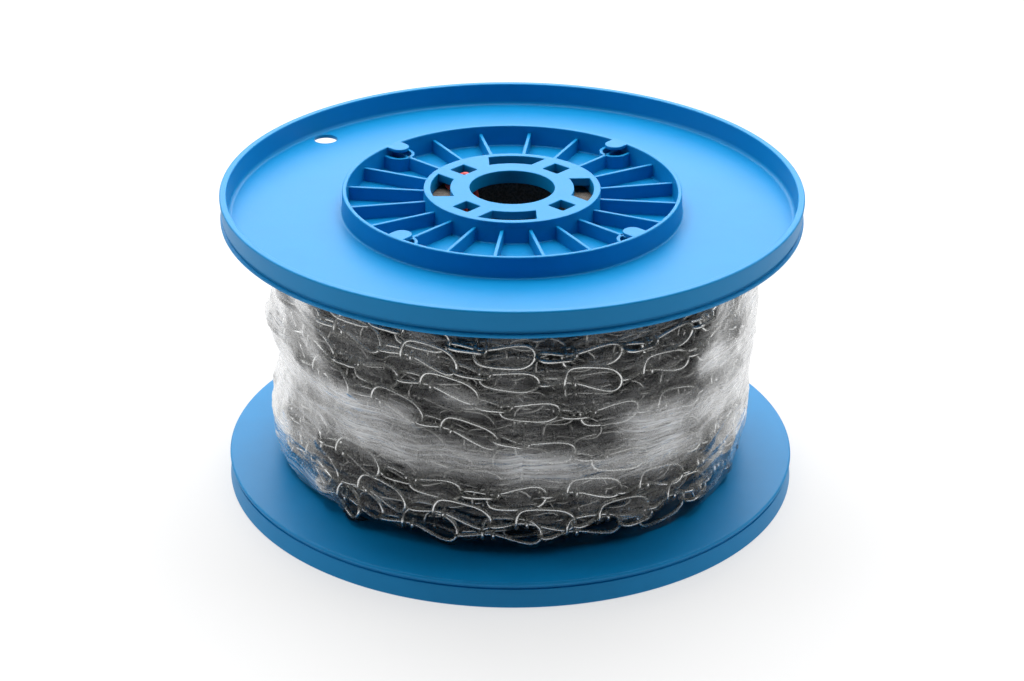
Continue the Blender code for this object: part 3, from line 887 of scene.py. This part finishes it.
for centre, bulge in ((360 - BULGE_AT, LEFT_BULGE), (BULGE_AT, RIGHT_BULGE)):
    wanted = np.interp(film_heights, [h for h, _ in bulge], [r for _, r in bulge])[:, None]
    weight = np.exp(-((film_angles - centre) / BULGE_WIDTH) ** 2)[None, :]
    skin_radii += weight * np.maximum(wanted - skin_radii, 0.0)


def fold(angle, height):
    """Height of the folds in millimetres: a slow dent, and sharp ridges along the rows."""
    turn = math.radians(angle)
    around_axis = Vector((math.cos(turn), math.sin(turn), 0.0)) * 3.0
    slow = noise.noise(around_axis + Vector((0, 0, height * 0.05)))
    ridges = noise.ridged_multi_fractal(around_axis * 1.7 + Vector((5.0, 2.0, height * 0.2)),
                                        0.9, 2.1, 4, 1.0, 2.0)
    return 0.35 * slow + 0.55 * max(ridges - 1.0, 0.0)


points = []
for row, height in enumerate(film_heights):
    points += [on_winding(a, skin_radii[row, column] + fold(a, height), height)
               for column, a in enumerate(film_angles)]
faces = []
for row in range(FILM_STEPS_UP):
    for step in range(FILM_STEPS_AROUND):
        after = (step + 1) % FILM_STEPS_AROUND
        low, high = row * FILM_STEPS_AROUND, (row + 1) * FILM_STEPS_AROUND
        faces.append((low + step, low + after, high + after, high + step))
film_mesh = bpy.data.meshes.new("film_sheet")
film_mesh.from_pydata(points, [], faces)
film_mesh.shade_smooth()
film_mesh.attributes.new("veil", "FLOAT", "POINT").data.foreach_set(
    "value", veil.astype(np.float32).ravel())
layer = film_mesh.uv_layers.new(name="along_rows")
MEAN_RADIUS = 85
FILM_GIRTH = math.tau * MEAN_RADIUS * MM
FILM_WIDTH = (FILM_HIGH - FILM_LOW) * MM
for polygon in film_mesh.polygons:
    row, step = divmod(polygon.index, FILM_STEPS_AROUND)
    corners = ((step, row), (step + 1, row), (step + 1, row + 1), (step, row + 1))
    for loop_index, (u, v) in zip(polygon.loop_indices, corners):
        layer.data[loop_index].uv = (u / FILM_STEPS_AROUND * FILM_GIRTH, v / FILM_STEPS_UP * FILM_WIDTH)

# %% [markdown]
# Clear film is seen only by what it mirrors. One clean surface mirrors 4 percent straight on, but
# several turns of crumpled film have many surfaces, which together mirror up to a third, and nearly
# all at a grazing angle. That gives the haze over the gaps and the white outline, which a painted
# sheen at the sides strengthens. Where the film is pressed to a knot it lies flat and clear. Where it
# is stretched or scuffed, it also scatters light in fine milky streaks. The veil attribute says how
# much of this there is at each point.

# %% Stretched polyethylene film
STREAK = 0.9 * MM
STREAK_LENGTH = 22.0 * MM
film_mat, tree, output = new_material("stretched_clear_polyethylene")
uv = put(tree, "ShaderNodeUVMap", uv_map="along_rows").outputs[0]
gap_veil = put(tree, "ShaderNodeAttribute", attribute_name="veil").outputs["Fac"]
bend = put(tree, "ShaderNodeTexNoise", {"Vector": uv, "Scale": 1 / (28.0 * MM), "Detail": 1.0})
lift = put(tree, "ShaderNodeCombineXYZ", {"Y": bend.outputs[0]})
bent_uv = put(tree, "ShaderNodeVectorMath", {0: lift.outputs[0], 1: (0.0, 9.0 * MM, 0.0), 2: uv},
              operation="MULTIPLY_ADD")
stretch = put(tree, "ShaderNodeMapping", {"Vector": bent_uv.outputs[0],
                                          "Scale": (1 / STREAK_LENGTH, 1 / STREAK, 1.0)})
streaks = put(tree, "ShaderNodeTexNoise", {"Vector": stretch.outputs[0], "Scale": 1.0, "Detail": 3.0,
                                           "Roughness": 0.55, "Distortion": 0.3})
patches = put(tree, "ShaderNodeTexNoise", {"Vector": uv, "Scale": 1 / (24.0 * MM), "Detail": 3.0})
patchy = put(tree, "ShaderNodeMapRange", {"Value": patches.outputs[0], "From Min": 0.40,
                                          "From Max": 0.64, "To Min": 0.45, "To Max": 1.0})
veiled = put(tree, "ShaderNodeMath", {0: gap_veil, 1: patchy.outputs[0]}, operation="MULTIPLY")
surfaces = put(tree, "ShaderNodeMapRange", {"Value": veiled.outputs[0], "To Min": 0.25, "To Max": 11.0})
creased = put(tree, "ShaderNodeMapRange", {"Value": veiled.outputs[0], "To Min": 0.12, "To Max": 0.8})
crinkle = put(tree, "ShaderNodeBump", {"Height": streaks.outputs[0], "Strength": creased.outputs[0],
                                       "Distance": 0.5 * MM})
single = put(tree, "ShaderNodeFresnel", {"IOR": 1.5, "Normal": crinkle.outputs[0]})
summed = put(tree, "ShaderNodeMath", {0: single.outputs[0], 1: surfaces.outputs[0]},
             operation="MULTIPLY")
whole = put(tree, "ShaderNodeMath", {0: summed.outputs[0], 1: 1.0})
lost = put(tree, "ShaderNodeMath", {0: whole.outputs[0], 1: single.outputs[0]}, operation="SUBTRACT")
stacked = put(tree, "ShaderNodeMath", {0: summed.outputs[0], 1: lost.outputs[0]}, operation="DIVIDE")
see_through = put(tree, "ShaderNodeBsdfTransparent", {"Color": linear("#F6F8FA")})
mirror = put(tree, "ShaderNodeBsdfGlossy", {"Color": linear("#FFFFFF"), "Roughness": 0.12,
                                            "Normal": crinkle.outputs[0]})
clear = put(tree, "ShaderNodeMixShader", {0: stacked.outputs[0], 1: see_through.outputs[0],
                                          2: mirror.outputs[0]})
thin = put(tree, "ShaderNodeMapRange", {"Value": streaks.outputs[0], "From Min": 0.4,
                                        "From Max": 0.64, "To Min": 0.0, "To Max": 0.95})
wide = put(tree, "ShaderNodeMapRange", {"Value": veiled.outputs[0], "To Min": 0.02, "To Max": 1.0})
milk = put(tree, "ShaderNodeMath", {0: thin.outputs[0], 1: wide.outputs[0]}, operation="MULTIPLY")
milky = put(tree, "ShaderNodeBsdfPrincipled", {"Base Color": linear("#EEF1F4"), "Roughness": 0.3,
                                               "Normal": crinkle.outputs[0]})
mixed = put(tree, "ShaderNodeMixShader", {0: milk.outputs[0], 1: clear.outputs[0],
                                          2: milky.outputs[0]})
tree.links.new(mixed.outputs[0], output.inputs["Surface"])
film_mesh.materials.append(film_mat)
film = link_mesh("film_sheet", film_mesh)
area = sum(polygon.area for polygon in film_mesh.polygons)
print("film: %d faces, %.4f square metres, flat %.4f" % (len(faces), area, FILM_GIRTH * FILM_WIDTH))
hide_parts("film_wrap")
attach(film, "root")

# %% [markdown]
# ## The red tie
#
# A short red plastic-sheathed cord is tied through the hub. It shows in one square hole and in the
# slot beside it. A curve with a round bevel through the same points as the solid makes it smooth.

# %% Soft red sheath
red, tree, output = new_material("soft_red_pvc_sheath")
place = put(tree, "ShaderNodeTexCoord").outputs["Object"]
worn = put(tree, "ShaderNodeTexNoise", {"Vector": place, "Scale": 1 / (1.5 * MM), "Detail": 3.0})
red_tone = put(tree, "ShaderNodeMix", {0: worn.outputs[0], 6: linear("#D23A36"), 7: linear("#E8534C")},
               data_type="RGBA")
red_skin = put(tree, "ShaderNodeBsdfPrincipled", {"Base Color": red_tone.outputs[2],
                                                  "Roughness": 0.38, "IOR": 1.53})
tree.links.new(red_skin.outputs[0], output.inputs["Surface"])

# %% The tie's route
TIE_STATIONS = [
    (-12.0, 12.0, 15.0), (-12.2, 12.4, 10.0), (-12.9, 13.5, 6.6), (-14.3, 15.4, 4.0),
    (-15.3, 17.1, 2.9), (-16.9, 17.8, 3.2), (-18.5, 17.5, 4.3), (-20.6, 16.6, 4.75),
    (-22.2, 15.1, 4.75), (-22.6, 13.2, 4.75), (-21.7, 11.3, 4.75), (-20.2, 9.7, 4.75),
    (-18.6, 8.4, 5.0), (-17.3, 7.5, 6.4), (-16.7, 6.9, 8.8), (-16.5, 6.6, 15.0),
]
tie_path = path_object("tie_sheath", [Vector((x * MM, y * MM, REEL_HEIGHT - depth * MM))
                                      for x, y, depth in TIE_STATIONS])
tie = run_tree(tie_path, wire_tree, {"Radius": 1.05 * MM, "Sides": 14, "Points": 90,
                                     "Material": red})
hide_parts("red_tie")
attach(tie, "root")
print("tie: %d faces" % len(tie.data.polygons))

# %% Sizes, and the end
low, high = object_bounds()
print("visual box:", [round(v, 4) for v in low], [round(v, 4) for v in high])
